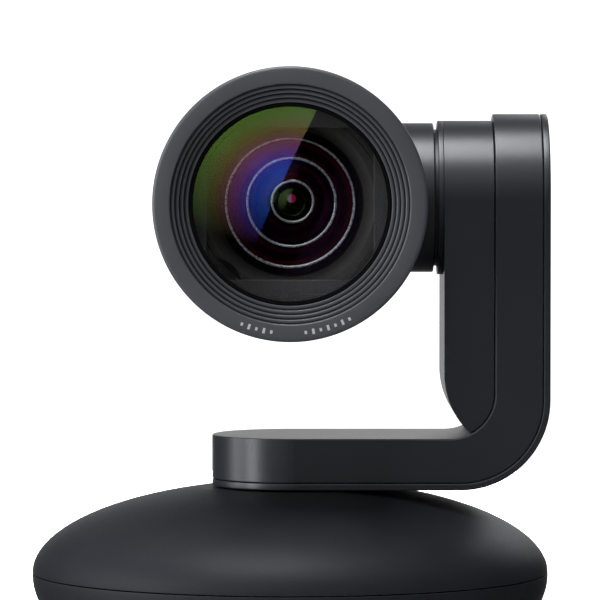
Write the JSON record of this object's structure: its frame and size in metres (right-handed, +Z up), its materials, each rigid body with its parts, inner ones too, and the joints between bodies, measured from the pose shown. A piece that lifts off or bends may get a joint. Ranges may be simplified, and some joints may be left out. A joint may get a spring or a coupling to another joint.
{
  "type": "ptz camera",
  "caption": "Desk-standing camera whose lens head tilts on an L-shaped arm that pans on a shallow domed base.",
  "frame": {"origin": "point on the pan axis in the plane of the rubber foot ring, at the centre of the underside", "axes": "+Z up along the pan axis, -Y the way the lens looks at rest, +X towards the upright arm"},
  "size_m": [0.131, 0.1292, 0.1456],
  "materials": {
    "housing": "satin moulded",
    "bezel": "satin moulded with a light edge",
    "black_plastic": "matt black moulded",
    "window_plastic": "glossy dark tinted",
    "light_plastic": "translucent light guide",
    "rubber": "matt",
    "belt": "toothed",
    "brass": "turned",
    "steel": "ground",
    "screw_steel": "blackened",
    "sheet_steel": "pressed and zinc plated",
    "alloy": "turned",
    "sink_alloy": "extruded and anodised",
    "nickel": "plated",
    "board": "green solder mask",
    "wheel_plastic": "natural acetal",
    "ribbon": "laminated flat cable",
    "window_glass": "polished and coated",
    "lens_glass": "polished and coated",
    "chip": "glass covered chip"
  },
  "bodies": {
    "base": {"base_pan": "housing", "base_dome": "housing", "foot_ring": "rubber", "tripod_bush": "brass", "base_screws": "screw_steel", "port_panel": "black_plastic", "power_jack": "black_plastic", "usb_socket": "nickel", "video_socket": "nickel", "control_socket": "black_plastic", "lock_plate": "sheet_steel", "main_board": "board", "heat_sink": "sink_alloy", "pan_bracket": "sheet_steel", "pan_bush": "brass", "pan_motor": "steel", "pan_belt": "belt", "ir_window": "window_plastic", "status_light": "light_plastic"},
    "pan_drive": {"pan_motor_pulley": "alloy"},
    "arm": {"arm_shell": "housing", "arm_cover": "housing", "tilt_housing": "housing", "tilt_collar": "housing", "pan_spindle": "alloy", "pan_pulley": "wheel_plastic", "spindle_clip": "steel", "tilt_bracket": "sheet_steel", "tilt_motor": "steel", "tilt_belt": "belt", "tilt_bush": "brass", "arm_screws": "screw_steel", "arm_ribbon": "ribbon"},
    "tilt_drive": {"tilt_motor_pulley": "alloy"},
    "head": {"head_front_shell": "housing", "head_rear_shell": "housing", "head_screws": "screw_steel", "tilt_drum": "housing", "tilt_shaft": "alloy", "tilt_pulley": "wheel_plastic", "bezel_ring": "bezel", "window_gasket": "rubber", "window_glass": "window_glass", "lens_mask": "black_plastic", "lens_barrel": "black_plastic", "front_ring": "black_plastic", "front_element": "lens_glass", "guide_rods": "steel", "zoom_motor": "steel", "focus_motor": "steel", "sensor_board": "board", "image_sensor": "chip"},
    "zoom_drive": {"zoom_screw": "steel"},
    "zoom_group": {"zoom_carriage": "black_plastic", "zoom_element": "lens_glass"},
    "focus_drive": {"focus_screw": "steel"},
    "focus_group": {"focus_carriage": "black_plastic", "focus_element": "lens_glass"}
  },
  "joints": [
    {"name": "pan", "type": "hinge", "parent": "base", "child": "arm", "pos_m": [0, 0, 0], "axis": [0, 0, 1], "range_deg": [-130, 130]},
    {"name": "tilt", "type": "hinge", "parent": "arm", "child": "head", "pos_m": [0, 0, 0.1132], "axis": [-1, 0, 0], "range_deg": [-30, 90]},
    {"name": "pan_motor_turn", "type": "hinge", "parent": "base", "child": "pan_drive", "pos_m": [-0.03032, 0.00645, 0.025], "axis": [0, 0, 1], "range_deg": [-520, 520]},
    {"name": "tilt_motor_turn", "type": "hinge", "parent": "arm", "child": "tilt_drive", "pos_m": [0.046, 0, 0.0852], "axis": [-1, 0, 0], "range_deg": [-90, 270]},
    {"name": "zoom", "type": "slide", "parent": "head", "child": "zoom_group", "axis": [0, 1, 0], "range_m": [0, 0.014]},
    {"name": "zoom_screw_turn", "type": "hinge", "parent": "head", "child": "zoom_drive", "pos_m": [0, 0, 0.1313], "axis": [0, 1, 0], "range_deg": [0, 1260]},
    {"name": "focus", "type": "slide", "parent": "head", "child": "focus_group", "axis": [0, 1, 0], "range_m": [-0.004, 0.004]},
    {"name": "focus_screw_turn", "type": "hinge", "parent": "head", "child": "focus_drive", "pos_m": [0, 0, 0.0933], "axis": [0, 1, 0], "range_deg": [-360, 360]}
  ],
  "couplings": [
    {"joint": "pan_motor_turn", "follows": "pan", "ratio": 4},
    {"joint": "tilt_motor_turn", "follows": "tilt", "ratio": 3},
    {"joint": "zoom_screw_turn", "follows": "zoom", "rad_per_m": 1570.8},
    {"joint": "focus_screw_turn", "follows": "focus", "rad_per_m": 1570.8}
  ]
}
